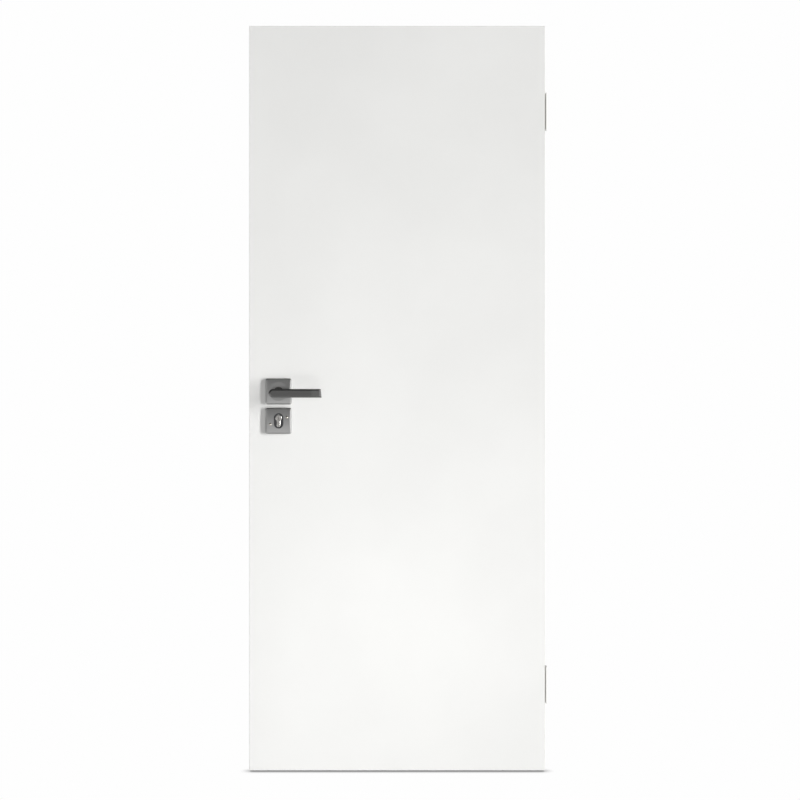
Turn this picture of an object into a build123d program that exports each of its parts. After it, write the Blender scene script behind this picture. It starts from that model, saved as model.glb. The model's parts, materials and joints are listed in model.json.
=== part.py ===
from build123d import *
import os
from math import atan2, degrees, radians, tan

# A flush door: a smooth leaf on two butt hinges, with a mortise lock, a lever on a square rose
# and a key cylinder in a square escutcheon. Sizes are in millimetres. +X runs across the door
# towards its hinges, +Y through it towards the side that it opens to, and +Z up. The origin lies
# on the bearing face of the bottom hinge's frame plate, halfway up that hinge and halfway through
# the closed leaf.

# Leaf
LEAF_WIDTH = 806.0
LEAF_HEIGHT = 2030.0
LEAF_THICK = 40.0
SKIN = 3.0
BAND = 1.0
BAND_ROUND = 0.8
STILE_WIDTH = 40.0
TOP_RAIL_HEIGHT = 40.0
BOTTOM_RAIL_HEIGHT = 60.0

# Hinges, each placed by its middle's height above the leaf's lower edge
HINGE_HEIGHTS = (230.0, 1800.0)
HINGE_LENGTH = 100.0
HINGE_GAP = 3.0
PLATE_THICK = 3.0
PLATE_REACH = 38.0
KNUCKLES = 3
KNUCKLE_R = 6.5
KNUCKLE_GAP = 0.4
KNUCKLE_CLEAR = 0.7
PIN_R = 3.5
PIN_OFFSET = 7.0
PIN_BORE_R = 3.55
HINGE_SCREW_R = 2.75
HINGE_SINK_R = 4.7
PLATE_SCREWS = ((9.0, -36.0), (20.0, 0.0), (9.0, 36.0))
POCKET_CLEAR = 0.2

# Lock
SPINDLE_HEIGHT = 1033.0
BACKSET = 80.0
PLUG_DROP = 72.0
FACEPLATE_WIDTH = 20.0
FACEPLATE_THICK = 3.0
FACEPLATE_ABOVE = 75.0
FACEPLATE_BELOW = 160.0
FACEPLATE_SCREW_IN = 9.0
CASE_THICK = 15.0
CASE_DEPTH = 110.0
CASE_ABOVE = 62.0
CASE_BELOW = 118.0
CASE_CLEAR = 0.5
LATCH_ABOVE = 8.0
DEAD_BOLT_BELOW = 57.0
BOLT_THICK = 12.0
BOLT_HEIGHT = 33.4
BOLT_LONG = 40.0
BOLT_CLEAR = 0.3
BOLT_SUNK = 0.2
FOLLOWER_R = 9.0
FOLLOWER_LONG = 14.0
FOLLOWER_CLEAR = 0.3
SPINDLE_SIDE = 8.0
SPINDLE_LONG = 114.0
SOCKET_SIDE = 8.2
SPINDLE_HOLE_R = 11.0
LOCK_BLOCK_REACH = 141.0
LOCK_BLOCK_ABOVE = 130.0
LOCK_BLOCK_BELOW = 230.0
LOCK_WINDOW_HALF = 16.0
LOCK_WINDOW_BELOW = 104.0

# Key cylinder, whose profile is a circle over a narrow stem
CYLINDER_R = 8.5
CYLINDER_STEM = 10.0
CYLINDER_HEIGHT = 33.0
CYLINDER_LONG = 65.0
CYLINDER_CLEAR = 0.5
CYLINDER_BEVEL = (1.2, 0.6)
CYLINDER_SCREW_DROP = 20.3
PLUG_R = 6.5
PLUG_PROUD = 0.3
PLUG_CLEAR = 0.1
KEYWAY_DEEP = 24.0
CAM_THICK = 9.5
CAM_SLOT = 10.4
CAM_NOSE = 15.0
CAM_CLEAR = 1.0

# Square covers on both faces of the leaf
COVER_SIDE = 71.0
COVER_CORNER = 5.5
COVER_CROWN = 11.0
CROWN_R = 420.0
COVER_BEVEL = (5.0, 4.0)
COLLAR_R = 26.0
COLLAR_HOLE_R = 12.8
COLLAR_TOP = 13.0
ESCUTCHEON_DROP = 80.0
KEY_RECESS_WIDE = 26.0
KEY_RECESS_HIGH = 42.0
KEY_RECESS_DEEP = 6.0
KEY_CLEAR = 0.5
COVER_SCREW_X = 22.5
COVER_SCREW_Z = 9.5
COVER_SCREW_R = 2.3
COVER_SINK_R = 4.0
COVER_SCREW_SUNK = 0.1

# Lever
BAR_HEIGHT = 23.2
BAR_THICK = 10.0
BAR_STANDS_OUT = 62.0
BAR_DROP = 5.2
BAR_LEFT = -24.3
BAR_TIP_TOP = 116.2
BAR_TIP_BOTTOM = 118.4
BAR_TIP_THICK = 8.5
BEND_AT = 91.0
BEND_DEGREES = 11.0
BEND_R = 30.0
BAR_FRONT_BEVEL = (4.5, 2.5)
BAR_BACK_BEVEL = (1.2, 1.2)
JOURNAL_R = 12.5
JOURNAL_FROM = 1.0
JOURNAL_TO = 16.0
NECK_R = 9.6
NECK_OVERLAP = 3.0
SOCKET_TO = 38.0
GRUB_AT = 25.0
GRUB_R = 2.5

# Places that follow from the sizes
HALF = LEAF_THICK / 2
CORE_HALF = HALF - SKIN
HINGE_EDGE = -(PLATE_THICK + HINGE_GAP)
LOCK_EDGE = HINGE_EDGE - LEAF_WIDTH
BOTTOM = -HINGE_HEIGHTS[0]
TOP = BOTTOM + LEAF_HEIGHT
SKIN_TOP = TOP - BAND
STILE_LOCK_SIDE = LOCK_EDGE + BAND + STILE_WIDTH
STILE_HINGE_SIDE = HINGE_EDGE - BAND - STILE_WIDTH
AXIS_X = -(PLATE_THICK + HINGE_GAP / 2)
AXIS_Y = HALF + PIN_OFFSET
PLATE_EDGE = AXIS_Y - PLATE_REACH
PLATE_CUT = AXIS_Y - KNUCKLE_R - KNUCKLE_CLEAR
HUB_X = LOCK_EDGE + BACKSET
HUB_Z = BOTTOM + SPINDLE_HEIGHT
PLUG_Z = HUB_Z - PLUG_DROP
CASE_FRONT = LOCK_EDGE + FACEPLATE_THICK
CASE_BACK = LOCK_EDGE + CASE_DEPTH
ESCUTCHEON_Z = HUB_Z - ESCUTCHEON_DROP
THROUGH = LEAF_THICK * 3


def slab(x0, x1, y0, y1, z0, z1):
    """A block between six planes."""
    middle = Pos((x0 + x1) / 2, (y0 + y1) / 2, (z0 + z1) / 2)
    return middle * Box(x1 - x0, y1 - y0, z1 - z0)


def facing_front(x, y, z):
    """A plane that looks out of the door's front, with its own x across the door and its own y up."""
    return Plane(origin=(x, y, z), x_dir=(1, 0, 0), z_dir=(0, -1, 0))


def facing_hinges(x, z):
    """A plane that looks towards the hinges, with its own x through the leaf and its own y up."""
    return Plane(origin=(x, 0, z), x_dir=(0, 1, 0), z_dir=(1, 0, 0))


def along_y(x, z, y0, y1, radius):
    """A round bar or bore that runs through the door's thickness."""
    return extrude(facing_front(x, y1, z) * Circle(radius), y1 - y0)


def on_back(piece):
    """The same piece on the other face of the leaf."""
    return mirror(piece, about=Plane.XZ)


def faces_looking(piece, looks):
    """The flat faces that look out of the door's front, for -1, or out of its back, for 1, from -X to +X."""
    flat = piece.faces().filter_by(GeomType.PLANE)
    return flat.filter_by(lambda face: face.normal_at().Y * looks > 0.9).sort_by(Axis.X)


# Leaf: a frame of stiles and rails round a core, with a skin on each face and bands on the edges

def profile(grow=0.0):
    """The key cylinder's outline seen from the front, with the plug's centre at (0, 0)."""
    stem_r = CYLINDER_STEM / 2
    stem_low = CYLINDER_R + stem_r - CYLINDER_HEIGHT
    stem = Pos(0, stem_low / 2) * Rectangle(CYLINDER_STEM + 2 * grow, -stem_low)
    return Circle(CYLINDER_R + grow) + stem + Pos(0, stem_low) * Circle(stem_r + grow)


def spindle_hole():
    return along_y(HUB_X, HUB_Z, -THROUGH, THROUGH, SPINDLE_HOLE_R)


def cylinder_hole(grow):
    return extrude(facing_front(HUB_X, 0, PLUG_Z) * profile(grow), THROUGH, both=True)


def plate_outline(grow=0.0):
    """A hinge plate's outline, seen from the hinge side, up to where the knuckles start."""
    wide = PLATE_CUT - PLATE_EDGE + grow
    return Pos(PLATE_CUT - wide / 2, 0) * Rectangle(wide, HINGE_LENGTH + 2 * grow)


def hinge_pocket(height):
    """The recess in the leaf's edge that takes a hinge plate, open towards the back face."""
    z = BOTTOM + height
    depth = extrude(facing_hinges(HINGE_EDGE - PLATE_THICK, z) * plate_outline(POCKET_CLEAR), PLATE_THICK)
    half = HINGE_LENGTH / 2 + POCKET_CLEAR
    mouth = slab(HINGE_EDGE - PLATE_THICK, HINGE_EDGE, PLATE_CUT - 1, HALF + 1, z - half, z + half)
    return depth + mouth


def without_pockets(piece):
    """A piece of the leaf's hinge edge, cut for the hinge plates."""
    for height in HINGE_HEIGHTS:
        piece -= hinge_pocket(height)
    return piece


def faceplate_outline(grow=0.0):
    """The lock's faceplate, rounded at both ends."""
    tall = FACEPLATE_ABOVE + FACEPLATE_BELOW + 2 * grow
    return SlotOverall(tall, FACEPLATE_WIDTH + 2 * grow, rotation=90)


def lock_mortise():
    """The recess for the faceplate and the slot behind it for the lock case."""
    middle = HUB_Z + (FACEPLATE_ABOVE - FACEPLATE_BELOW) / 2
    recess = extrude(facing_hinges(LOCK_EDGE, middle) * faceplate_outline(0.1), FACEPLATE_THICK)
    half = CASE_THICK / 2 + CASE_CLEAR
    low = HUB_Z - CASE_BELOW - CASE_CLEAR
    high = HUB_Z + CASE_ABOVE + CASE_CLEAR
    slot = slab(CASE_FRONT, CASE_BACK + CASE_CLEAR, -half, half, low, high)
    return recess + slot


def skin(y0, y1):
    """One face of the leaf between its bands, pierced for the spindle and the cylinder."""
    sheet = slab(LOCK_EDGE + BAND, HINGE_EDGE - BAND, y0, y1, BOTTOM, SKIN_TOP)
    return without_pockets(sheet - spindle_hole() - cylinder_hole(CYLINDER_CLEAR))


def lock_stile():
    stile = slab(LOCK_EDGE + BAND, STILE_LOCK_SIDE, -CORE_HALF, CORE_HALF, BOTTOM, SKIN_TOP)
    return stile - lock_mortise()


def hinge_stile():
    stile = slab(STILE_HINGE_SIDE, HINGE_EDGE - BAND, -CORE_HALF, CORE_HALF, BOTTOM, SKIN_TOP)
    return without_pockets(stile)


def rail(z0, z1):
    return slab(STILE_LOCK_SIDE, STILE_HINGE_SIDE, -CORE_HALF, CORE_HALF, z0, z1)


def lock_block_bounds():
    """The block's sides and its lower and upper ends."""
    far_side = LOCK_EDGE + LOCK_BLOCK_REACH
    return STILE_LOCK_SIDE, far_side, HUB_Z - LOCK_BLOCK_BELOW, HUB_Z + LOCK_BLOCK_ABOVE


def lock_block():
    """The solid wood that the lock case is let into, with a window for the spindle and the cylinder."""
    x0, x1, z0, z1 = lock_block_bounds()
    block = slab(x0, x1, -CORE_HALF, CORE_HALF, z0, z1)
    half = LOCK_WINDOW_HALF
    window = slab(HUB_X - half, HUB_X + half, -HALF, HALF, HUB_Z - LOCK_WINDOW_BELOW, HUB_Z + half)
    return block - lock_mortise() - window


def core_panel():
    """The chipboard core, notched for the lock block."""
    x0, x1, z0, z1 = lock_block_bounds()
    return rail(BOTTOM + BOTTOM_RAIL_HEIGHT, SKIN_TOP - TOP_RAIL_HEIGHT) - slab(x0, x1, -HALF, HALF, z0, z1)


def edge_band(x0, outer_x):
    """A thin band up one edge of the leaf, with its two outer arrises taken off."""
    band = slab(x0, x0 + BAND, -HALF, HALF, BOTTOM, TOP)
    arrises = [e for e in band.edges().filter_by(Axis.Z) if abs(e.center().X - outer_x) < BAND / 2]
    return fillet(arrises, BAND_ROUND)


def leaf():
    return {
        "front_skin": skin(-HALF, -CORE_HALF),
        "back_skin": skin(CORE_HALF, HALF),
        "lock_stile": lock_stile(),
        "hinge_stile": hinge_stile(),
        "top_rail": rail(SKIN_TOP - TOP_RAIL_HEIGHT, SKIN_TOP),
        "bottom_rail": rail(BOTTOM, BOTTOM + BOTTOM_RAIL_HEIGHT),
        "core_panel": core_panel(),
        "lock_block": lock_block(),
        "lock_edge_band": edge_band(LOCK_EDGE, LOCK_EDGE) - lock_mortise(),
        "hinge_edge_band": without_pockets(edge_band(HINGE_EDGE - BAND, HINGE_EDGE)),
        "top_edge_band": slab(LOCK_EDGE + BAND, HINGE_EDGE - BAND, -HALF, HALF, SKIN_TOP, TOP),
    }


# Lock: a case in the leaf's edge with its faceplate, two bolts and the follower that the spindle turns

def lock_case():
    low = HUB_Z - CASE_BELOW
    case = slab(CASE_FRONT, CASE_BACK, -CASE_THICK / 2, CASE_THICK / 2, low, HUB_Z + CASE_ABOVE)
    for z in (HUB_Z + LATCH_ABOVE, HUB_Z - DEAD_BOLT_BELOW):
        case -= bolt_channel(z)
    case -= along_y(HUB_X, HUB_Z, -THROUGH, THROUGH, FOLLOWER_R + FOLLOWER_CLEAR)
    return case - cylinder_hole(CYLINDER_CLEAR)


def bolt_channel(z):
    """The room for a bolt in the lock case."""
    half_y = BOLT_THICK / 2 + BOLT_CLEAR
    half_z = BOLT_HEIGHT / 2 + BOLT_CLEAR
    back = LOCK_EDGE + BOLT_LONG + BOLT_CLEAR
    return slab(LOCK_EDGE, back, -half_y, half_y, z - half_z, z + half_z)


def lock_faceplate():
    middle = HUB_Z + (FACEPLATE_ABOVE - FACEPLATE_BELOW) / 2
    plate = extrude(facing_hinges(LOCK_EDGE, middle) * faceplate_outline(), FACEPLATE_THICK)
    for z in (HUB_Z + LATCH_ABOVE, HUB_Z - DEAD_BOLT_BELOW):
        plate -= bolt_channel(z)
    ends = (HUB_Z + FACEPLATE_ABOVE - FACEPLATE_SCREW_IN, HUB_Z - FACEPLATE_BELOW + FACEPLATE_SCREW_IN)
    for z in (*ends, PLUG_Z - CYLINDER_SCREW_DROP):
        mouth = Plane(origin=(LOCK_EDGE, 0, z), z_dir=(-1, 0, 0))
        plate -= mouth * CounterSinkHole(COVER_SCREW_R, COVER_SINK_R, FACEPLATE_THICK * 2, 90)
    return plate


def bolt(z):
    """A bolt drawn back flush with the faceplate, its outer edges softened."""
    half_y = BOLT_THICK / 2
    half_z = BOLT_HEIGHT / 2
    block = slab(LOCK_EDGE + BOLT_SUNK, LOCK_EDGE + BOLT_LONG, -half_y, half_y, z - half_z, z + half_z)
    return chamfer(block.faces().sort_by(Axis.X)[0].edges(), 1.0)


def key_cylinder():
    body = extrude(facing_front(HUB_X, 0, PLUG_Z) * profile(), CYLINDER_LONG / 2, both=True)
    for looks in (-1, 1):
        end = faces_looking(body, looks)[0]
        body = chamfer(end.edges(), *CYLINDER_BEVEL, reference=end)
    body -= along_y(HUB_X, PLUG_Z, -THROUGH, THROUGH, PLUG_R + PLUG_CLEAR)
    half = CAM_SLOT / 2
    slot_low = PLUG_Z - CAM_NOSE - CAM_CLEAR
    return body - slab(HUB_X - THROUGH, HUB_X + THROUGH, -half, half, slot_low, PLUG_Z + CYLINDER_HEIGHT)


def keyway():
    """The slot for the key, a straight blade with a bend to one side at its foot."""
    blade = Polyline((-1.0, 5.0), (1.0, 5.0), (1.0, 0.8), (1.6, 0.2), (1.6, -1.6), (0.2, -3.0),
                     (0.2, -5.0), (-1.4, -5.0), (-1.4, -1.2), (-1.0, -0.8), close=True)
    return make_face(blade)


def cylinder_plug():
    """The front plug of the cylinder, just proud of the cylinder's face."""
    face = -CYLINDER_LONG / 2 - PLUG_PROUD
    plug = along_y(HUB_X, PLUG_Z, face, -CAM_SLOT / 2, PLUG_R)
    mouth = facing_front(HUB_X, face + KEYWAY_DEEP, PLUG_Z)
    return plug - extrude(mouth * keyway(), KEYWAY_DEEP)


def cylinder_cam():
    """The cam between the plugs, which throws the dead bolt, turned down in line with the stem."""
    half = CAM_THICK / 2
    ring = along_y(HUB_X, PLUG_Z, -half, half, CYLINDER_R)
    nose_half = CYLINDER_STEM / 2 - PLUG_CLEAR
    nose = slab(HUB_X - nose_half, HUB_X + nose_half, -half, half, PLUG_Z - CAM_NOSE, PLUG_Z)
    return ring + nose


def lock():
    plug = cylinder_plug()
    return {
        "lock_case": lock_case(),
        "lock_faceplate": lock_faceplate(),
        "latch_bolt": bolt(HUB_Z + LATCH_ABOVE),
        "dead_bolt": bolt(HUB_Z - DEAD_BOLT_BELOW),
        "cylinder_body": key_cylinder(),
        "cylinder_plug_front": plug,
        "cylinder_plug_back": on_back(plug),
        "cylinder_cam": cylinder_cam(),
    }


# Covers: a rose round each lever's neck and an escutcheon round each end of the cylinder

def square_cover():
    """A square cover about its own centre, bevelled all round and bowed a little from top to bottom."""
    wide, deep = COVER_BEVEL
    shoulder = COVER_CROWN - deep
    outline = RectangleRounded(COVER_SIDE, COVER_SIDE, COVER_CORNER)
    sides = extrude(facing_front(0, -HALF, 0) * outline, shoulder)
    front = extrude(facing_front(0, -HALF - shoulder, 0) * outline, deep, taper=degrees(atan2(wide, deep)))
    bow = Pos(0, CROWN_R - HALF - COVER_CROWN, 0) * Cylinder(CROWN_R, COVER_SIDE * 2, rotation=(0, 90, 0))
    return (sides + front) & bow


def rose():
    """The cover round a lever's neck, with a low raised ring that the neck turns in."""
    ring = along_y(0, 0, -HALF - COLLAR_TOP, -HALF, COLLAR_R)
    return square_cover() + ring - along_y(0, 0, -THROUGH, THROUGH, COLLAR_HOLE_R)


def cover_screws():
    """Where an escutcheon's two screws stand."""
    return Locations((COVER_SCREW_X, COVER_SCREW_Z), (-COVER_SCREW_X, -COVER_SCREW_Z))


def escutcheon():
    """A cover with a long recess round the cylinder, whose floor fits the cylinder closely."""
    floor = -HALF - COVER_CROWN + KEY_RECESS_DEEP
    oval = SlotOverall(KEY_RECESS_HIGH, KEY_RECESS_WIDE, rotation=90)
    recess = extrude(facing_front(0, floor, 0) * oval, KEY_RECESS_DEEP)
    hole = Pos(0, ESCUTCHEON_DROP - PLUG_DROP) * profile(KEY_CLEAR)
    return square_cover() - recess - extrude(facing_front(0, -HALF, 0) * hole, COVER_CROWN)


def screwed_escutcheon():
    """The front escutcheon, whose two screws pass through it and the leaf into the back one."""
    cover = escutcheon()
    surface = COVER_CROWN - COVER_SCREW_Z ** 2 / (2 * CROWN_R)
    for place in cover_screws():
        mouth = facing_front(0, -HALF - surface + COVER_SCREW_SUNK, 0) * place
        cover -= mouth * CounterSinkHole(COVER_SCREW_R, COVER_SINK_R, COVER_CROWN, 90)
    return cover


def covers():
    front_rose = Pos(HUB_X, 0, HUB_Z) * rose()
    at_cylinder = Pos(HUB_X, 0, ESCUTCHEON_Z)
    return {
        "rose_front": front_rose,
        "rose_back": on_back(front_rose),
        "escutcheon_front": at_cylinder * screwed_escutcheon(),
        "escutcheon_back": on_back(at_cylinder * escutcheon()),
    }


# Levers: a flat bar on a round neck, one on each face, joined by the square spindle

def bevel_bar(bar, looks, bevel):
    """Bevels one face of the bar along both sides and round its near end, then across its tip."""
    near = faces_looking(bar, looks)[0]
    bar = chamfer(near.edges().filter_by(GeomType.CIRCLE), *bevel, reference=near)
    tip = faces_looking(bar, looks)[-1]
    return chamfer(tip.edges().sort_by(Axis.X)[-1], *bevel, reference=tip)


def lever_bar():
    """The bar that the hand holds, about the spindle's axis, bent towards the door at its tip."""
    half = BAR_HEIGHT / 2
    low = -BAR_DROP - half
    high = -BAR_DROP + half
    outer = -HALF - BAR_STANDS_OUT
    inner = outer + BAR_THICK
    start = BAR_LEFT + half
    sides = Polyline((start, low), (BAR_TIP_BOTTOM, low), (BAR_TIP_TOP, high), (start, high), close=True)
    front = make_face(sides) + Pos(start, -BAR_DROP) * Circle(half)
    end = BAR_TIP_BOTTOM + 1
    rise = (end - BEND_AT) * tan(radians(BEND_DEGREES))
    plan = make_face(Polyline((BAR_LEFT - 1, outer), (BEND_AT, outer), (end, outer + rise),
                              (end, outer + rise + BAR_TIP_THICK), (BEND_AT, inner), (BAR_LEFT - 1, inner),
                              close=True))
    plan = fillet([v for v in plan.vertices() if abs(v.X - BEND_AT) < 1], BEND_R)
    bar = extrude(facing_front(0, 0, 0) * front, THROUGH) & extrude(plan, THROUGH, both=True)
    bar = bevel_bar(bar, -1, BAR_FRONT_BEVEL)
    return bevel_bar(bar, 1, BAR_BACK_BEVEL)


def lever_neck():
    """The round neck, which drops a little on its way from the rose to the bar and runs into both."""
    foot = Vector(0, -HALF - JOURNAL_TO + NECK_OVERLAP, 0)
    head = Vector(0, -HALF - BAR_STANDS_OUT + BAR_THICK - NECK_OVERLAP, -BAR_DROP)
    return extrude(Plane(origin=foot, z_dir=head - foot) * Circle(NECK_R), (head - foot).length)


def lever():
    """The front lever, about the spindle's axis."""
    journal = along_y(0, 0, -HALF - JOURNAL_TO, -HALF - JOURNAL_FROM, JOURNAL_R)
    piece = lever_bar() + lever_neck() + journal
    side = SOCKET_SIDE / 2
    piece -= slab(-side, side, -HALF - SOCKET_TO, 0, -side, side)
    grub = extrude(Plane(origin=(0, -HALF - GRUB_AT, 0), z_dir=(0, 0, -1)) * Circle(GRUB_R), JOURNAL_R * 2)
    return piece - grub


def spindle():
    side = SPINDLE_SIDE / 2
    half = SPINDLE_LONG / 2
    return slab(HUB_X - side, HUB_X + side, -half, half, HUB_Z - side, HUB_Z + side)


def lock_follower():
    """The eight-sided hub in the lock case that the spindle turns to draw the latch back."""
    half = FOLLOWER_LONG / 2
    side = SOCKET_SIDE / 2
    hub = extrude(facing_front(HUB_X, half, HUB_Z) * RegularPolygon(FOLLOWER_R, 8), FOLLOWER_LONG)
    return hub - slab(HUB_X - side, HUB_X + side, -half, half, HUB_Z - side, HUB_Z + side)


def handle():
    front = Pos(HUB_X, 0, HUB_Z) * lever()
    return {
        "lever_front": front,
        "lever_back": on_back(front),
        "spindle": spindle(),
        "lock_follower": lock_follower(),
    }


# Hinges: a plate with a pin on the frame, and a plate let into the leaf whose knuckle turns on the pin

def knuckle_span(index):
    """The lower and upper end of a knuckle, counted from the bottom."""
    pitch = HINGE_LENGTH / KNUCKLES
    low = index * pitch - HINGE_LENGTH / 2
    first = index == 0
    last = index == KNUCKLES - 1
    return low + (0 if first else KNUCKLE_GAP / 2), low + pitch - (0 if last else KNUCKLE_GAP / 2)


def knuckle(index):
    """One knuckle without its bore."""
    z0, z1 = knuckle_span(index)
    return Pos(AXIS_X, AXIS_Y, (z0 + z1) / 2) * Cylinder(KNUCKLE_R, z1 - z0)


def hinge_plate(x0, looks, knuckles):
    """One plate and its knuckles. Its screw heads sit in the face that looks along +X or -X."""
    plate = extrude(facing_hinges(x0, 0) * plate_outline(), PLATE_THICK)
    for index in knuckles:
        plate += slab(x0, x0 + PLATE_THICK, PLATE_CUT, AXIS_Y, *knuckle_span(index)) + knuckle(index)
    face = x0 + PLATE_THICK if looks > 0 else x0
    for from_edge, z in PLATE_SCREWS:
        mouth = Plane(origin=(face, PLATE_EDGE + from_edge, z), z_dir=(looks, 0, 0))
        plate -= mouth * CounterSinkHole(HINGE_SCREW_R, HINGE_SINK_R, PLATE_THICK * 2, 90)
    return plate


def on_pin(radius):
    """A round bar or bore on the hinge's axis, as long as the hinge."""
    return Pos(AXIS_X, AXIS_Y, 0) * Cylinder(radius, HINGE_LENGTH)


def frame_plate():
    """The frame's plate, with the pin fixed in its outer knuckles."""
    return hinge_plate(-PLATE_THICK, -1, (0, KNUCKLES - 1)) + on_pin(PIN_R)


def door_plate():
    """The leaf's plate, whose middle knuckle turns on the pin."""
    return hinge_plate(HINGE_EDGE - PLATE_THICK, 1, (1,)) - on_pin(PIN_BORE_R)


def hinges():
    frame_side = frame_plate()
    door_side = door_plate()
    levels = [Pos(0, 0, BOTTOM + height) for height in HINGE_HEIGHTS]
    return {
        "hinge_frame_leaves": Compound(children=[level * frame_side for level in levels]),
        "hinge_door_leaves": Compound(children=[level * door_side for level in levels]),
    }


def main():
    os.makedirs("parts", exist_ok=True)
    nodes = {**leaf(), **lock(), **covers(), **handle(), **hinges()}
    for name, shape in nodes.items():
        export_step(shape, f"parts/{name}.step")


main()
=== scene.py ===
import json
from math import asin, cos, degrees, pi, radians, sin

import bmesh
import bpy
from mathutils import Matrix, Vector

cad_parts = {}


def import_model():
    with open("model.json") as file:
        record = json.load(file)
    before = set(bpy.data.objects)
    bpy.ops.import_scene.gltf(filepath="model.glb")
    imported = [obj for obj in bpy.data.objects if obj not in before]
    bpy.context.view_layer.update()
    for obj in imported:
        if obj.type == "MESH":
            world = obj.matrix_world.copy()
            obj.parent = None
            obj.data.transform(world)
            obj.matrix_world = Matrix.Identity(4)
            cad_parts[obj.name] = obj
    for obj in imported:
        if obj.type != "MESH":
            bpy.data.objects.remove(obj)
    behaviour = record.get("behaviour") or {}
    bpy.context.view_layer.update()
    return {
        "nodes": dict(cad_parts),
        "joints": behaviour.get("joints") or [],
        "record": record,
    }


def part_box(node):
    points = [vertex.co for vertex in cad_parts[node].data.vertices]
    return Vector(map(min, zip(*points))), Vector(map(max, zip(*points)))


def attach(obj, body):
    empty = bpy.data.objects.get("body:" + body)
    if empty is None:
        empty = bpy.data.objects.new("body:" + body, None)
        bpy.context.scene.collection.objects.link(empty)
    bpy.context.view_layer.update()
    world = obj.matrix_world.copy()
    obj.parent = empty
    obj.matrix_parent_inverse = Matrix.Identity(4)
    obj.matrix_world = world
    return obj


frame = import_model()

# The looks of a flush door: a white lacquered leaf with satin nickel levers, a bright key cylinder,
# a mortise lock in its edge and painted butt hinges. Every length is in metres.

MM = 0.001

# The leaf, and what it carries, as the frame gives them
LEAF_LOW, LEAF_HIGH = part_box("lock_edge_band")
FRONT_FACE = LEAF_LOW.y
BACK_FACE = LEAF_HIGH.y
LOCK_EDGE = LEAF_LOW.x
LEAF_BOTTOM = LEAF_LOW.z
HINGE_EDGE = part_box("hinge_edge_band")[1].x
JOINTS = {joint["name"]: Vector(joint["pos_m"]) for joint in frame["joints"]}
HUB = JOINTS["handle_turn"]
MOUNTS = {mount["name"]: Vector(mount["pos_m"]) for mount in frame["record"]["mounts"]}
HINGE_LEVELS = [place.z for name, place in MOUNTS.items() if name.endswith("hinge_face")]
PLUG_LOW, PLUG_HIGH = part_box("cylinder_plug_front")
PLUG = (PLUG_LOW + PLUG_HIGH) / 2


# Small tools for node trees

def colour(code):
    """Linear red, green, blue and alpha of an sRGB hex colour."""
    parts = [int(code[i:i + 2], 16) / 255 for i in (1, 3, 5)]
    return [c / 12.92 if c <= 0.04045 else ((c + 0.055) / 1.055) ** 2.4 for c in parts] + [1.0]


def add(tree, kind, inputs=None, **settings):
    """Adds a node with its settings. Each input is given a value, or is linked where an output is given."""
    node = tree.nodes.new(kind)
    for name, value in settings.items():
        setattr(node, name, value)
    for socket, value in (inputs or {}).items():
        if isinstance(value, bpy.types.NodeSocket):
            tree.links.new(value, node.inputs[socket])
        else:
            node.inputs[socket].default_value = value
    return node


def material(name, base, metallic=0.0, roughness=0.5, **sockets):
    """A new material with one surface shader, and its tree and shader for what comes on top."""
    made = bpy.data.materials.new(name)
    made.use_nodes = True
    tree = made.node_tree
    tree.nodes.clear()
    values = {"Base Color": colour(base), "Metallic": metallic, "Roughness": roughness}
    values.update({socket.replace("_", " "): value for socket, value in sockets.items()})
    shader = add(tree, "ShaderNodeBsdfPrincipled", values)
    add(tree, "ShaderNodeOutputMaterial", {"Surface": shader.outputs["BSDF"]})
    return made, tree, shader


def pattern(tree, unit_mm, centre=(0, 0, 0), turn=(0, 0, 0)):
    """Object coordinates about a centre, turned and counted in a unit of so many millimetres on each axis."""
    units = unit_mm if isinstance(unit_mm, tuple) else (unit_mm,) * 3
    place = add(tree, "ShaderNodeTexCoord").outputs["Object"]
    mapping = add(tree, "ShaderNodeMapping", {"Vector": place, "Location": centre, "Rotation": turn,
                                              "Scale": [u * MM for u in units]}, vector_type="TEXTURE")
    return mapping.outputs["Vector"]


def noise(tree, where, detail=2.0, roughness=0.5):
    node = add(tree, "ShaderNodeTexNoise", {"Vector": where, "Scale": 1.0, "Detail": detail,
                                            "Roughness": roughness})
    return node.outputs["Fac"]


def between(tree, value, low, high, to_low, to_high):
    """A value mapped from one range to another, and held at its ends."""
    node = add(tree, "ShaderNodeMapRange", {"Value": value, "From Min": low, "From Max": high,
                                            "To Min": to_low, "To Max": to_high})
    return node.outputs["Result"]


def mixed(tree, share, first, second):
    """One colour turning into another, each given as a hex code or an output."""
    ends = [end if isinstance(end, bpy.types.NodeSocket) else colour(end) for end in (first, second)]
    node = add(tree, "ShaderNodeMix", {"Factor": share, 6: ends[0], 7: ends[1]}, data_type="RGBA")
    return node.outputs[2]


def relief(tree, shader, *layers):
    """Bumps from layers of height, each given as an output and its depth in millimetres."""
    normal = None
    for height, depth_mm in layers:
        inputs = {"Height": height, "Distance": depth_mm * MM, "Strength": 1.0}
        if normal:
            inputs["Normal"] = normal
        normal = add(tree, "ShaderNodeBump", inputs).outputs["Normal"]
    tree.links.new(normal, shader.inputs["Normal"])


# Materials, each named for what the real one is and how its surface was made

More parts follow.
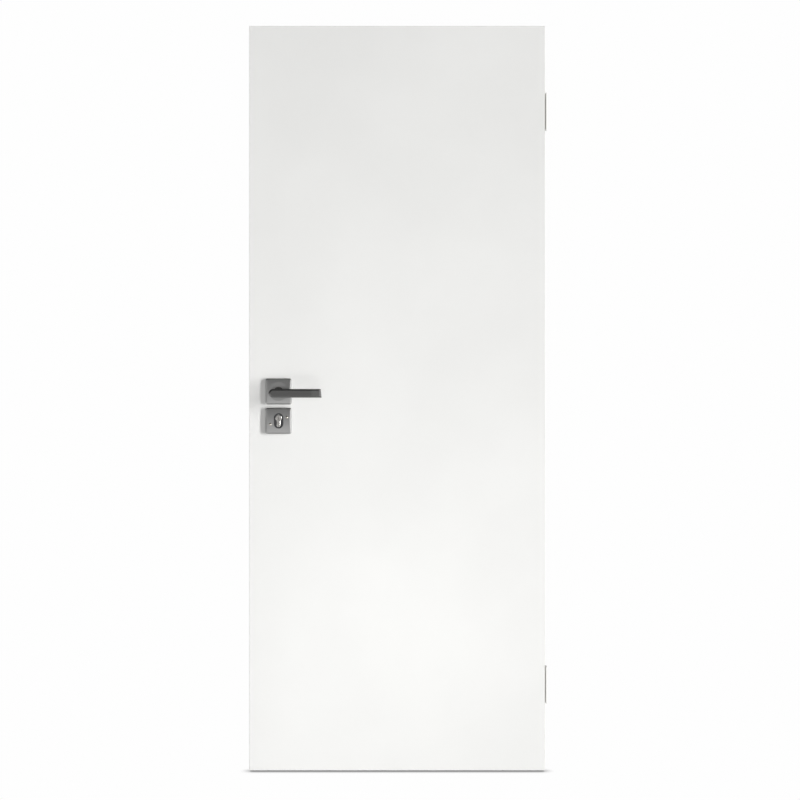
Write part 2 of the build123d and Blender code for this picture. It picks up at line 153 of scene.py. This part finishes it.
def satin_lacquer():
    """White acid-curing lacquer sprayed on hardboard: an even soft gloss with a faint orange peel, and a raw
    brown cut along the lower edge, which nobody paints."""
    made, tree, shader = material("lacquer_white_satin_sprayed", "#F5F5F3", roughness=0.42)
    cloud = noise(tree, pattern(tree, 420), detail=3)
    tint = mixed(tree, between(tree, cloud, 0.35, 0.65, 0, 1), "#F6F6F4", "#F2F2F0")
    fibre = noise(tree, pattern(tree, (0.6, 0.6, 3)), detail=4)
    board = mixed(tree, between(tree, fibre, 0.3, 0.7, 0, 1), "#6E4F36", "#8C6A4B")
    facing = add(tree, "ShaderNodeSeparateXYZ", {"Vector": add(tree, "ShaderNodeTexCoord").outputs["Normal"]})
    underside = between(tree, facing.outputs["Z"], -0.9, -0.8, 1, 0)
    tree.links.new(mixed(tree, underside, tint, board), shader.inputs["Base Color"])
    gloss = between(tree, noise(tree, pattern(tree, 60)), 0.3, 0.7, 0.38, 0.46)
    tree.links.new(gloss, shader.inputs["Roughness"])
    # Orange peel runs at about 1.6 mm, over slow waves left by sanding
    relief(tree, shader, (noise(tree, pattern(tree, 1.6)), 0.012), (noise(tree, pattern(tree, 140)), 0.25))
    return made


def edge_band():
    """ABS edging, rolled with a fine pearl texture: duller than the lacquer, and greyer than the white it
    really is, as painted shade on the edges.
    """
    # The grey base colour is painted shade that holds down the key light falling full on the leaf's edges
    made, tree, shader = material("abs_white_rolled_edging", "#E3E2DE", roughness=0.5, IOR=1.53)
    pearl = add(tree, "ShaderNodeTexVoronoi", {"Vector": pattern(tree, (0.9, 0.9, 0.9)), "Scale": 1.0})
    relief(tree, shader, (pearl.outputs["Distance"], 0.03))
    gloss = between(tree, noise(tree, pattern(tree, (20, 20, 90))), 0.3, 0.7, 0.44, 0.56)
    tree.links.new(gloss, shader.inputs["Roughness"])
    return made


def planed_pine():
    """Softwood planed along its length: pale early wood between darker, harder growth lines."""
    made, tree, shader = material("pine_planed_sealed", "#C99E66", roughness=0.62)
    bend = noise(tree, pattern(tree, (60, 60, 900)), detail=2)
    shift = add(tree, "ShaderNodeCombineXYZ", {"X": bend, "Y": bend}).outputs[0]
    where = add(tree, "ShaderNodeVectorMath", {0: pattern(tree, (9, 9, 900)), 1: shift},
                operation="ADD").outputs[0]
    rings = add(tree, "ShaderNodeTexWave", {"Vector": where, "Scale": 0.32, "Distortion": 1.4, "Detail": 2.0},
                wave_type="BANDS", bands_direction="DIAGONAL", wave_profile="SAW").outputs["Fac"]
    grain = mixed(tree, between(tree, rings, 0.45, 1.0, 0, 1), "#DDBB85", "#A9743F")
    pores = noise(tree, pattern(tree, (0.35, 0.35, 14)), detail=3)
    tree.links.new(mixed(tree, between(tree, pores, 0.52, 0.72, 0, 0.45), grain, "#8A5C30"),
                   shader.inputs["Base Color"])
    relief(tree, shader, (rings, 0.05), (pores, 0.04))
    return made


def chipboard():
    """Pressed chips and resin, buff with darker bark flecks."""
    made, tree, shader = material("chipboard_pressed", "#B9945F", roughness=0.8)
    chips = add(tree, "ShaderNodeTexVoronoi", {"Vector": pattern(tree, (2.2, 2.2, 6)), "Scale": 1.0})
    shade = add(tree, "ShaderNodeSeparateColor", {"Color": chips.outputs["Color"]}).outputs[0]
    tree.links.new(mixed(tree, shade, "#D0AC74", "#86633B"), shader.inputs["Base Color"])
    relief(tree, shader, (chips.outputs["Distance"], 0.15))
    return made


def zinc_plate():
    """Steel with bright zinc: bluish grey with a cloudy bloom."""
    made, tree, shader = material("steel_zinc_plated", "#B9BCC0", metallic=1.0, roughness=0.34)
    bloom = noise(tree, pattern(tree, 7), detail=4)
    tree.links.new(mixed(tree, between(tree, bloom, 0.35, 0.7, 0, 1), "#C3C6CA", "#A3A49F"),
                   shader.inputs["Base Color"])
    tree.links.new(between(tree, bloom, 0.3, 0.7, 0.26, 0.44), shader.inputs["Roughness"])
    relief(tree, shader, (noise(tree, pattern(tree, 0.5)), 0.006))
    return made


def brushed_stainless():
    """Stainless strip brushed along its length, so highlights stretch across it."""
    made, tree, shader = material("stainless_steel_brushed", "#BDBBB6", metallic=1.0, roughness=0.3)
    hairs = noise(tree, pattern(tree, (0.25, 0.25, 22)), detail=4, roughness=0.65)
    tree.links.new(mixed(tree, between(tree, hairs, 0.3, 0.7, 0, 1), "#C6C4BF", "#A9A7A2"),
                   shader.inputs["Base Color"])
    tree.links.new(between(tree, hairs, 0.3, 0.7, 0.24, 0.4), shader.inputs["Roughness"])
    relief(tree, shader, (hairs, 0.01))
    return made


def moulded_nylon():
    """Glass-filled nylon moulded dark grey, with a matt skin."""
    made, tree, shader = material("nylon_dark_moulded", "#5B5C5E", roughness=0.55, IOR=1.53)
    skin = noise(tree, pattern(tree, 0.7), detail=3)
    tree.links.new(between(tree, skin, 0.3, 0.7, 0.48, 0.62), shader.inputs["Roughness"])
    relief(tree, shader, (skin, 0.02))
    return made


def ground_nickel():
    """Nickel plate over ground brass: the wheel's fine lines still show through."""
    made, tree, shader = material("brass_nickel_plated_ground", "#CFCBC2", metallic=1.0, roughness=0.22)
    lines = noise(tree, pattern(tree, (30, 0.2, 0.5)), detail=3)
    tree.links.new(between(tree, lines, 0.3, 0.7, 0.16, 0.3), shader.inputs["Roughness"])
    relief(tree, shader, (lines, 0.006))
    return made


def bright_nickel():
    """Bright nickel over milled brass, nearly a mirror, with a slight ripple."""
    made, tree, shader = material("brass_nickel_plated_bright", "#DAD8D4", metallic=1.0, roughness=0.2)
    ripple = noise(tree, pattern(tree, 3), detail=2)
    tree.links.new(between(tree, ripple, 0.3, 0.7, 0.16, 0.26), shader.inputs["Roughness"])
    relief(tree, shader, (ripple, 0.01))
    return made


def turned_nickel():
    """Bright nickel over turned brass: the lathe's rings run round the keyway."""
    made, tree, shader = material("brass_nickel_plated_turned", "#E4E2DE", metallic=1.0, roughness=0.2)
    where = pattern(tree, 1.0, centre=PLUG)
    rings = add(tree, "ShaderNodeTexWave", {"Vector": where, "Scale": 0.55, "Distortion": 0.15},
                wave_type="RINGS", rings_direction="Y").outputs["Fac"]
    tree.links.new(between(tree, rings, 0, 1, 0.15, 0.28), shader.inputs["Roughness"])
    relief(tree, shader, (rings, 0.012))
    return made


def satin_nickel(name, light, dark, roughness):
    """Zinc casting, brushed and nickel plated to a satin: soft reflections drawn out along the marks."""
    made, tree, shader = material(name, light, metallic=1.0, roughness=roughness)
    marks = noise(tree, pattern(tree, (16, 1.2, 0.22)), detail=4, roughness=0.6)
    tree.links.new(mixed(tree, between(tree, marks, 0.3, 0.7, 0, 1), light, dark),
                   shader.inputs["Base Color"])
    tree.links.new(between(tree, marks, 0.3, 0.7, roughness - 0.05, roughness + 0.05),
                   shader.inputs["Roughness"])
    relief(tree, shader, (marks, 0.006))
    return made


def powder_coat():
    """White polyester powder baked on steel: a thick soft skin with a fine orange peel."""
    made, tree, shader = material("steel_powder_coated_white", "#DDDDD9", roughness=0.36, Coat_Weight=0.15)
    peel = noise(tree, pattern(tree, 1.1), detail=2)
    tree.links.new(between(tree, peel, 0.3, 0.7, 0.32, 0.42), shader.inputs["Roughness"])
    relief(tree, shader, (peel, 0.03))
    return made


def blackened_steel():
    """Hardened steel blackened by its heat treatment, as grub screws are: dark, with a dull shine."""
    made, tree, shader = material("steel_blackened", "#3B3A38", metallic=1.0, roughness=0.4)
    tree.links.new(between(tree, noise(tree, pattern(tree, 1.5)), 0.3, 0.7, 0.34, 0.5),
                   shader.inputs["Roughness"])
    return made


FINISHES = {
    "door_lacquer": satin_lacquer(),
    "edge_band": edge_band(),
    "stile_wood": planed_pine(),
    "core_board": chipboard(),
    "lock_steel": zinc_plate(),
    "faceplate_steel": brushed_stainless(),
    "latch_nylon": moulded_nylon(),
    "bolt_nickel": ground_nickel(),
    "cylinder_nickel": bright_nickel(),
    "plug_nickel": turned_nickel(),
    "rose_nickel": satin_nickel("zinc_casting_satin_nickel", "#C2C2C1", "#B6B6B5", 0.34),
    # The lever is a darker copy of the roses' satin nickel: its lower base colour is painted shade, standing
    # in for the dark that its flat face shows
    "lever_nickel": satin_nickel("zinc_casting_satin_nickel_shade_darkened", "#7F7F7E", "#757574", 0.32),
    "hinge_paint": powder_coat(),
}


def dress_nodes():
    """Gives every carried-over node the finish of its material slot."""
    slots = {part["node"]: part["material_slot"] for part in frame["record"]["subparts"]}
    for name, piece in frame["nodes"].items():
        piece.data.materials.clear()
        piece.data.materials.append(FINISHES[slots[name]])


dress_nodes()


# Screws, made by one node tree from points that say where each head lies and which way it looks

SCREW_SIZES = ("Head Radius", "Head Depth", "Head Crown", "Shank Radius", "Shank Length")
HEAD_CORNERS = 32
HEAD_RINGS = 5
SHANK_CORNERS = 20
# The cross recess's bars: their length and width by the head's radius, and their height, half of which
# stands above the head, by the head's depth
CROSS_LENGTH = 1.15
CROSS_WIDTH = 0.24
CROSS_HEIGHT = 1.3
# The recess's point: its height, and how far down its tip lies, by the head's depth
POINT_CORNERS = 12
POINT_HEIGHT = 0.9
POINT_DROP = 0.85
# How far below the top a corner still counts as on the head's face, by the head's depth
FACE_SLACK = 0.01
TURN_SEED = 4


def screw_tree():
    """A countersunk screw with a cross recess, stood on every point of a mesh along its vector named looks.
    Its head is flat, or swells by its crown."""
    tree = bpy.data.node_groups.new("countersunk_screws", "GeometryNodeTree")
    face = tree.interface
    face.new_socket("Places", in_out="INPUT", socket_type="NodeSocketGeometry")
    for name in SCREW_SIZES:
        face.new_socket(name, in_out="INPUT", socket_type="NodeSocketFloat")
    face.new_socket("Metal", in_out="INPUT", socket_type="NodeSocketMaterial")
    face.new_socket("Screws", in_out="OUTPUT", socket_type="NodeSocketGeometry")
    given = add(tree, "NodeGroupInput").outputs

    def worked_out(operation, a, b):
        return add(tree, "ShaderNodeMath", {0: a, 1: b}, operation=operation).outputs[0]

    def times(a, b):
        return worked_out("MULTIPLY", a, b)

    def lowered(shape, by):
        shift = add(tree, "ShaderNodeCombineXYZ", {"Z": times(by, -1.0)}).outputs[0]
        return add(tree, "GeometryNodeTransform", {"Geometry": shape, "Translation": shift}).outputs[0]

    head = add(tree, "GeometryNodeMeshCone", {
        "Vertices": HEAD_CORNERS, "Fill Segments": HEAD_RINGS, "Radius Top": given["Head Radius"],
        "Radius Bottom": given["Shank Radius"], "Depth": given["Head Depth"]}).outputs["Mesh"]
    head = lowered(head, given["Head Depth"])
    place = add(tree, "ShaderNodeSeparateXYZ", {0: add(tree, "GeometryNodeInputPosition").outputs[0]}).outputs
    out = worked_out("DIVIDE", add(tree, "ShaderNodeVectorMath", {
        0: add(tree, "ShaderNodeCombineXYZ", {"X": place["X"], "Y": place["Y"]}).outputs[0]},
        operation="LENGTH").outputs["Value"], given["Head Radius"])
    swell = times(worked_out("SUBTRACT", 1.0, times(out, out)), given["Head Crown"])
    on_face = worked_out("GREATER_THAN", place["Z"], times(given["Head Depth"], -FACE_SLACK))
    rise = add(tree, "ShaderNodeCombineXYZ", {"Z": times(swell, on_face)}).outputs[0]
    head = add(tree, "GeometryNodeSetPosition", {"Geometry": head, "Offset": rise}).outputs[0]
    # The recess is two crossed bars, which go about two thirds of the way into the head, and a deeper point
    wide = times(given["Head Radius"], CROSS_LENGTH)
    narrow = times(given["Head Radius"], CROSS_WIDTH)
    deep = worked_out("ADD", times(given["Head Depth"], CROSS_HEIGHT), times(given["Head Crown"], 2.0))
    bars = []
    for size in ({"X": wide, "Y": narrow, "Z": deep}, {"X": narrow, "Y": wide, "Z": deep}):
        extent = add(tree, "ShaderNodeCombineXYZ", size).outputs[0]
        bar = add(tree, "GeometryNodeMeshCube", {"Size": extent}).outputs["Mesh"]
        bars.append(lowered(bar, times(given["Head Crown"], -1.0)))
    point = add(tree, "GeometryNodeMeshCone", {
        "Vertices": POINT_CORNERS, "Radius Top": narrow, "Radius Bottom": 0.0,
        "Depth": times(given["Head Depth"], POINT_HEIGHT)}).outputs["Mesh"]
    bars.append(lowered(point, times(given["Head Depth"], POINT_DROP)))
    cut = add(tree, "GeometryNodeMeshBoolean", {"Mesh 1": head}, operation="DIFFERENCE", solver="EXACT")
    for bar in bars:
        tree.links.new(bar, cut.inputs["Mesh 2"])
    shank = add(tree, "GeometryNodeMeshCylinder", {"Vertices": SHANK_CORNERS, "Radius": given["Shank Radius"],
                                                   "Depth": given["Shank Length"]}).outputs["Mesh"]
    shank = lowered(shank, worked_out("ADD", given["Head Depth"], times(given["Shank Length"], 0.5)))
    screw = add(tree, "GeometryNodeJoinGeometry")
    for part in (cut.outputs["Mesh"], shank):
        tree.links.new(part, screw.inputs[0])
    looks = add(tree, "GeometryNodeInputNamedAttribute", {"Name": "looks"}, data_type="FLOAT_VECTOR")
    facing = add(tree, "FunctionNodeAlignRotationToVector", {"Vector": looks.outputs[0]}, axis="Z")
    chance = add(tree, "FunctionNodeRandomValue", {2: 0.0, 3: radians(90), "Seed": TURN_SEED},
                 data_type="FLOAT")
    spin = add(tree, "FunctionNodeAxisAngleToRotation", {"Axis": (0, 0, 1), "Angle": chance.outputs[1]})
    turned = add(tree, "FunctionNodeRotateRotation", {0: facing.outputs[0], 1: spin.outputs[0]},
                 rotation_space="LOCAL")
    placed = add(tree, "GeometryNodeInstanceOnPoints", {
        "Points": given["Places"], "Instance": screw.outputs[0], "Rotation": turned.outputs[0]})
    whole = add(tree, "GeometryNodeRealizeInstances", {0: placed.outputs[0]}).outputs[0]
    dressed = add(tree, "GeometryNodeSetMaterial", {"Geometry": whole, "Material": given["Metal"]}).outputs[0]
    add(tree, "NodeGroupOutput", {"Screws": dressed})
    return tree


def screws(name, tree, places, looks, sizes_mm, metal, body):
    """One mesh of like screws. Places are where the heads' faces lie, and looks is the way they face."""
    points = bpy.data.meshes.new(name + "_points")
    points.from_pydata([tuple(place) for place in places], [], [])
    attribute = points.attributes.new("looks", "FLOAT_VECTOR", "POINT")
    attribute.data.foreach_set("vector", list(looks) * len(places))
    piece = bpy.data.objects.new(name, points)
    bpy.context.scene.collection.objects.link(piece)
    modifier = piece.modifiers.new("screws", "NODES")
    modifier.node_group = tree
    values = dict(zip(SCREW_SIZES, [size * MM for size in sizes_mm]))
    values["Metal"] = metal
    for item in tree.interface.items_tree:
        if item.in_out == "INPUT" and item.name in values:
            modifier[item.identifier] = values[item.name]
    evaluated = piece.evaluated_get(bpy.context.evaluated_depsgraph_get())
    made = bpy.data.meshes.new_from_object(evaluated)
    piece.modifiers.clear()
    piece.data = made
    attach(piece, body)


# Where the screws stand, in millimetres, and each kind's sizes in the order of SCREW_SIZES
HINGE_SCREW_PLACES = ((9.0, -36.0), (20.0, 0.0), (9.0, 36.0))
HINGE_SCREW = (4.6, 1.9, 0.0, 2.6, 12.0)
FACEPLATE_SCREW_INSET = 9.0
CYLINDER_SCREW_DROP = 20.3
LOCK_SCREW = (3.9, 1.6, 0.0, 2.2, 8.0)
ESCUTCHEON_SCREW_PLACES = ((-22.5, -9.5), (22.5, 9.5))
ESCUTCHEON_SCREW_SUNK = 0.25
ESCUTCHEON_SCREW = (3.9, 1.6, 1.6, 2.2, 8.0)


def add_screws():
    """The hinges' wood screws, the lock's and the cylinder's in its faceplate, and the escutcheon's two."""
    tree = screw_tree()
    plate_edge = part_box("hinge_door_leaves")[0].y
    places = [(HINGE_EDGE, plate_edge + across * MM, z + up * MM)
              for z in HINGE_LEVELS for across, up in HINGE_SCREW_PLACES]
    screws("hinge_screws", tree, places, (1, 0, 0), HINGE_SCREW, FINISHES["lock_steel"], "leaf")
    low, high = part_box("lock_faceplate")
    inset = FACEPLATE_SCREW_INSET * MM
    heights = (low.z + inset, high.z - inset, PLUG.z - CYLINDER_SCREW_DROP * MM)
    screws("lock_screws", tree, [(LOCK_EDGE, 0, z) for z in heights], (-1, 0, 0), LOCK_SCREW,
           FINISHES["faceplate_steel"], "leaf")
    low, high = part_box("escutcheon_front")
    centre = (low + high) / 2
    face = low.y + ESCUTCHEON_SCREW_SUNK * MM
    places = [(centre.x + x * MM, face, centre.z + z * MM) for x, z in ESCUTCHEON_SCREW_PLACES]
    screws("escutcheon_screws", tree, places, (0, -1, 0), ESCUTCHEON_SCREW, FINISHES["bolt_nickel"], "leaf")


add_screws()


# Grub screws that clamp the levers to their spindle, up inside the underside of each neck

GRUB_RADIUS = 2.45 * MM
GRUB_LONG = 5.5 * MM
GRUB_CHAMFER = 0.4 * MM
GRUB_SOCKET = 1.25 * MM
GRUB_SOCKET_DEEP = 2.5 * MM
GRUB_MOUTH = 10.3 * MM
GRUB_OUT = 45.0 * MM


def ring_of(mesh, centre, radius, z, corners=24, phase=0.0):
    """A closed loop of points about an upright line."""
    turns = [2 * pi * step / corners + phase for step in range(corners)]
    return [mesh.verts.new((centre.x + radius * cos(turn), centre.y + radius * sin(turn), z))
            for turn in turns]


def joined(mesh, first, second):
    """A band of faces between two loops of as many points."""
    count = len(first)
    for step in range(count):
        after = (step + 1) % count
        mesh.faces.new((first[step], first[after], second[after], second[step]))


def grub_screws():
    """A cylinder with chamfered ends, and a hexagon socket that is open below."""
    mesh = bmesh.new()
    for side in (-1, 1):
        centre = Vector((HUB.x, side * GRUB_OUT, 0))
        mouth = HUB.z - GRUB_MOUTH
        end = mouth + GRUB_LONG
        hexagon, bottom = [ring_of(mesh, centre, GRUB_SOCKET / cos(pi / 6), z, corners=6, phase=pi / 6)
                           for z in (mouth, mouth + GRUB_SOCKET_DEEP)]
        outline = [ring_of(mesh, centre, GRUB_RADIUS - inset, z) for inset, z in (
            (GRUB_CHAMFER, mouth), (0, mouth + GRUB_CHAMFER), (0, end - GRUB_CHAMFER), (GRUB_CHAMFER, end))]
        for below, above in zip(outline, outline[1:]):
            joined(mesh, below, above)
        mesh.faces.new(outline[-1])
        joined(mesh, bottom, hexagon)
        mesh.faces.new(bottom)
        # Each of the socket's six corners fans out to its share of the mouth's rim
        rim = outline[0] + outline[0][:1]
        share = len(outline[0]) // len(hexagon)
        for corner, point in enumerate(hexagon):
            for at in range(corner * share, corner * share + share):
                mesh.faces.new((point, rim[at + 1], rim[at]))
            mesh.faces.new((point, hexagon[(corner + 1) % len(hexagon)], rim[(corner + 1) * share]))
    bmesh.ops.recalc_face_normals(mesh, faces=mesh.faces)
    finished("grub_screws", mesh, blackened_steel(), "handle")


# Guide rings: moulded pieces on the floor of each escutcheon's recess, which steady the key cylinder. Their
# dark nylon is partly painted shade: it darkens the recess where its shade falls

RECESS_WIDE = 26.0 * MM
RECESS_HIGH = 42.0 * MM
RECESS_FLOOR = 5.0 * MM
GUIDE_CLEAR = 0.15 * MM
GUIDE_THICK = 1.0 * MM
CYLINDER_GROWN = 0.6 * MM
CYLINDER_RADIUS = 8.5 * MM
STEM_RADIUS = 5.0 * MM
STEM_DROP = 19.5 * MM
OVAL_STEPS = 20
CIRCLE_STEPS = 28
STEM_STEPS = 12


def arc(centre_x, centre_z, radius, start, end, steps):
    """Points along an arc, with its angles in degrees."""
    turns = [radians(start + (end - start) * step / steps) for step in range(steps + 1)]
    return [(centre_x + radius * cos(turn), centre_z + radius * sin(turn)) for turn in turns]


def guide_outlines(centre_z):
    """The recess's oval, and inside it the cylinder's own outline, each a little slack."""
    radius = RECESS_WIDE / 2 - GUIDE_CLEAR
    rise = (RECESS_HIGH - RECESS_WIDE) / 2
    oval = arc(PLUG.x, centre_z + rise, radius, 0, 180, OVAL_STEPS)
    oval += arc(PLUG.x, centre_z - rise, radius, 180, 360, OVAL_STEPS)
    circle = CYLINDER_RADIUS + CYLINDER_GROWN
    stem = STEM_RADIUS + CYLINDER_GROWN
    meet = degrees(asin(stem / circle))
    keyhole = arc(PLUG.x, PLUG.z, circle, meet - 90, 270 - meet, CIRCLE_STEPS)
    keyhole += arc(PLUG.x, PLUG.z - STEM_DROP, stem, 180, 360, STEM_STEPS)
    return oval, keyhole


def guide_rings_shade_dark():
    """A flat ring in each recess, from the oval's edge to the cylinder's. Its dark grey paints the recess's
    shade.
    """
    mesh = bmesh.new()
    for node, side in (("escutcheon_front", -1), ("escutcheon_back", 1)):
        low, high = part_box(node)
        face = side * (BACK_FACE + RECESS_FLOOR)
        edges = []
        for outline in guide_outlines((low.z + high.z) / 2):
            points = [mesh.verts.new((x, face, z)) for x, z in outline]
            edges += [mesh.edges.new((points[at - 1], points[at])) for at in range(len(points))]
        flat = bmesh.ops.triangle_fill(mesh, use_beauty=True, use_dissolve=False, edges=edges)["geom"]
        flat = [item for item in flat if isinstance(item, bmesh.types.BMFace)]
        raised = bmesh.ops.extrude_face_region(mesh, geom=flat, use_keep_orig=True)["geom"]
        moved = [item for item in raised if isinstance(item, bmesh.types.BMVert)]
        bmesh.ops.translate(mesh, verts=moved, vec=(0, side * GUIDE_THICK, 0))
    bmesh.ops.recalc_face_normals(mesh, faces=mesh.faces)
    # The rings take the latch's dark nylon, which here stands in for the shade deep in the recess
    finished("guide_rings_shade_dark", mesh, FINISHES["latch_nylon"], "leaf")


def finished(name, mesh, finish, body):
    """Turns a built mesh into a piece that rides on a body."""
    data = bpy.data.meshes.new(name)
    mesh.to_mesh(data)
    mesh.free()
    data.materials.append(finish)
    piece = bpy.data.objects.new(name, data)
    bpy.context.scene.collection.objects.link(piece)
    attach(piece, body)


grub_screws()
guide_rings_shade_dark()


# The room: a pale floor, soft studio light and the photograph's camera

CAMERA_AWAY = 6.5
CAMERA_X = -0.4012
CAMERA_Z = 0.7798
FRAME_WIDTH = 2.1824
SENSOR_MM = 36.0
FLOOR_BELOW = 5.0 * MM
FLOOR_SIZE = 7.0
BACKDROP_GREY = 0.991
# The floor's shade under the door: how far it reaches, where it is full and how dark it is there
CONTACT_REACH = 0.028
CONTACT_FULL = 0.2
CONTACT_GREY = 0.3
# Greys of the studio by how far a direction rises, from -1 straight down to 1 straight up
FILL_BY_HEIGHT = ((-1.0, 0.14), (0.0, 0.18), (1.0, 0.14))
WALLS_BY_HEIGHT = ((-1.0, 0.45), (-0.35, 1.0), (-0.15, 0.95), (0.03, 0.25), (0.15, 0.1), (1.0, 0.14))
# What the walls add from the left, -1, to the right, 1
WALLS_BY_SIDE = ((-1.0, 0.02), (0.0, 0.0), (0.5, 0.05), (0.8, 0.5), (1.0, 0.4))
# How bright the floor is for the light that it gives back to the door
FLOOR_BOUNCE = 0.32

# The key light comes from the right, spread over several heights so that the lever's shadow is soft. The
# lower ones come up from below the floor, which casts no shadow. Angles are in degrees
KEY_SIDE = 62
KEY_LIFTS = (-13, -5, 3, 11, 19)
KEY_STRENGTH = 3.6
KEY_ANGLE = 7
# A highlight that shows only as a reflection, and a fill from behind, by side, lift, strength and angle
GLINT = (52, 8, 1.0, 12)
BACK_FILL = (215, 10, 2.5, 20)
# Windows in front and behind, by place, aim, size and power
WINDOW = ((1.5, -1.3, 2.7), (-0.1, -0.02, 1.6), 0.8, 4.0)
BACK_WINDOW = ((-1.7, 1.7, 1.5), (HUB.x, BACK_FACE, HUB.z), 1.0, 6.5)
# Panels in front, by height, distance, size and power: one level with the handle, so that its shadow hides
# behind it, and one that brightens the foot of the leaf
FRONT_PANELS = ((0.76, 2.6, 0.9, 9.9), (0.05, 1.1, 0.3, 2.0))


def grey_ramp(tree, place, steps):
    """A smooth run of greys along a value from -1 to 1."""
    ramp = add(tree, "ShaderNodeValToRGB", {"Fac": between(tree, place, -1, 1, 0, 1)})
    ramp.color_ramp.interpolation = "EASE"
    while len(ramp.color_ramp.elements) < len(steps):
        ramp.color_ramp.elements.new(0.5)
    for element, (at, grey) in zip(ramp.color_ramp.elements, steps):
        element.position = (at + 1) / 2
        element.color = (grey, grey, grey, 1)
    return ramp.outputs["Color"]


def world():
    """White behind the door, a soft even fill that lights it, and walls that its surfaces mirror, which are
    bright low down and darker above."""
    made = bpy.data.worlds.new("studio")
    bpy.context.scene.world = made
    made.use_nodes = True
    tree = made.node_tree
    tree.nodes.clear()
    way = add(tree, "ShaderNodeSeparateXYZ", {"Vector": add(tree, "ShaderNodeTexCoord").outputs["Generated"]})
    fill = grey_ramp(tree, way.outputs["Z"], FILL_BY_HEIGHT)
    walls = grey_ramp(tree, way.outputs["Z"], WALLS_BY_HEIGHT)
    side = grey_ramp(tree, way.outputs["X"], WALLS_BY_SIDE)
    walls = add(tree, "ShaderNodeMix", {"Factor": 1.0, 6: walls, 7: side}, data_type="RGBA",
                blend_type="ADD").outputs[2]
    path = add(tree, "ShaderNodeLightPath")
    lit = add(tree, "ShaderNodeMix", {"Factor": path.outputs["Is Glossy Ray"], 6: fill, 7: walls},
              data_type="RGBA").outputs[2]
    seen = add(tree, "ShaderNodeMix", {"Factor": path.outputs["Is Camera Ray"], 6: lit,
                                       7: (BACKDROP_GREY,) * 3 + (1,)}, data_type="RGBA").outputs[2]
    glow = add(tree, "ShaderNodeBackground", {"Color": seen, "Strength": 1.0})
    add(tree, "ShaderNodeOutputWorld", {"Surface": glow.outputs[0]})


def floor():
    """A white floor that darkens only close under the door."""
    half = FLOOR_SIZE / 2
    z = LEAF_BOTTOM - FLOOR_BELOW
    corners = [(CAMERA_X + x * half, y * half, z) for x, y in ((-1, -1), (1, -1), (1, 1), (-1, 1))]
    mesh = bpy.data.meshes.new("floor")
    mesh.from_pydata(corners, [], [(0, 1, 2, 3)])
    piece = bpy.data.objects.new("floor", mesh)
    bpy.context.scene.collection.objects.link(piece)
    made = bpy.data.materials.new("floor_white")
    made.use_nodes = True
    tree = made.node_tree
    tree.nodes.clear()
    near = add(tree, "ShaderNodeAmbientOcclusion", {"Distance": CONTACT_REACH}, samples=8)
    grey = between(tree, near.outputs["AO"], CONTACT_FULL, 1.0, CONTACT_GREY, BACKDROP_GREY)
    seen = add(tree, "ShaderNodeLightPath").outputs["Is Camera Ray"]
    strength = add(tree, "ShaderNodeMix", {"Factor": seen, 2: FLOOR_BOUNCE, 3: grey}).outputs[0]
    glow = add(tree, "ShaderNodeEmission", {"Color": (1, 1, 1, 1), "Strength": strength})
    add(tree, "ShaderNodeOutputMaterial", {"Surface": glow.outputs[0]})
    mesh.materials.append(made)
    piece.visible_glossy = False
    piece.visible_shadow = False


def sun(name, side, lift, strength, angle, mirrored=False, shines=True):
    """A distant light at an angle round from the door's front to the right, and an angle above the floor. It
    shines on the door, is mirrored in its surfaces, or both."""
    light = bpy.data.lights.new(name, "SUN")
    light.energy = strength
    light.angle = radians(angle)
    lamp = bpy.data.objects.new(name, light)
    bpy.context.scene.collection.objects.link(lamp)
    lamp.visible_glossy = mirrored
    lamp.visible_diffuse = shines
    lamp.rotation_euler = (radians(90 - lift), 0, radians(side))


def panel(name, place, aim, size, watts, mirrored=True):
    """A soft square light that looks at a point. The camera doesn't see it."""
    light = bpy.data.lights.new(name, "AREA")
    light.energy = watts
    light.size = size
    lamp = bpy.data.objects.new(name, light)
    bpy.context.scene.collection.objects.link(lamp)
    lamp.visible_camera = False
    lamp.visible_glossy = mirrored
    lamp.location = place
    lamp.rotation_euler = (Vector(aim) - Vector(place)).to_track_quat("-Z", "Y").to_euler()


def camera():
    """Square on to the door's front, as in the photograph."""
    lens = bpy.data.cameras.new("camera")
    lens.sensor_width = SENSOR_MM
    lens.lens = SENSOR_MM * CAMERA_AWAY / FRAME_WIDTH
    lens.clip_end = 100
    eye = bpy.data.objects.new("camera", lens)
    bpy.context.scene.collection.objects.link(eye)
    eye.location = (CAMERA_X, FRONT_FACE - CAMERA_AWAY, CAMERA_Z)
    eye.rotation_euler = (radians(90), 0, 0)
    bpy.context.scene.camera = eye


def lights():
    """The studio's lights, which shine on every piece alike."""
    for count, lift in enumerate(KEY_LIFTS):
        sun(f"key_{count}", KEY_SIDE, lift, KEY_STRENGTH / len(KEY_LIFTS), KEY_ANGLE)
    sun("glint", *GLINT, mirrored=True, shines=False)
    panel("window", *WINDOW)
    for height, away, size, watts in FRONT_PANELS:
        aim = (CAMERA_X, FRONT_FACE, height)
        panel("front", (CAMERA_X, FRONT_FACE - away, height), aim, size, watts, mirrored=False)
    sun("back_fill", *BACK_FILL)
    panel("back_window", *BACK_WINDOW)


world()
floor()
lights()
camera()
bpy.context.scene.view_settings.view_transform = "Standard"
bpy.context.scene.view_settings.look = "None"
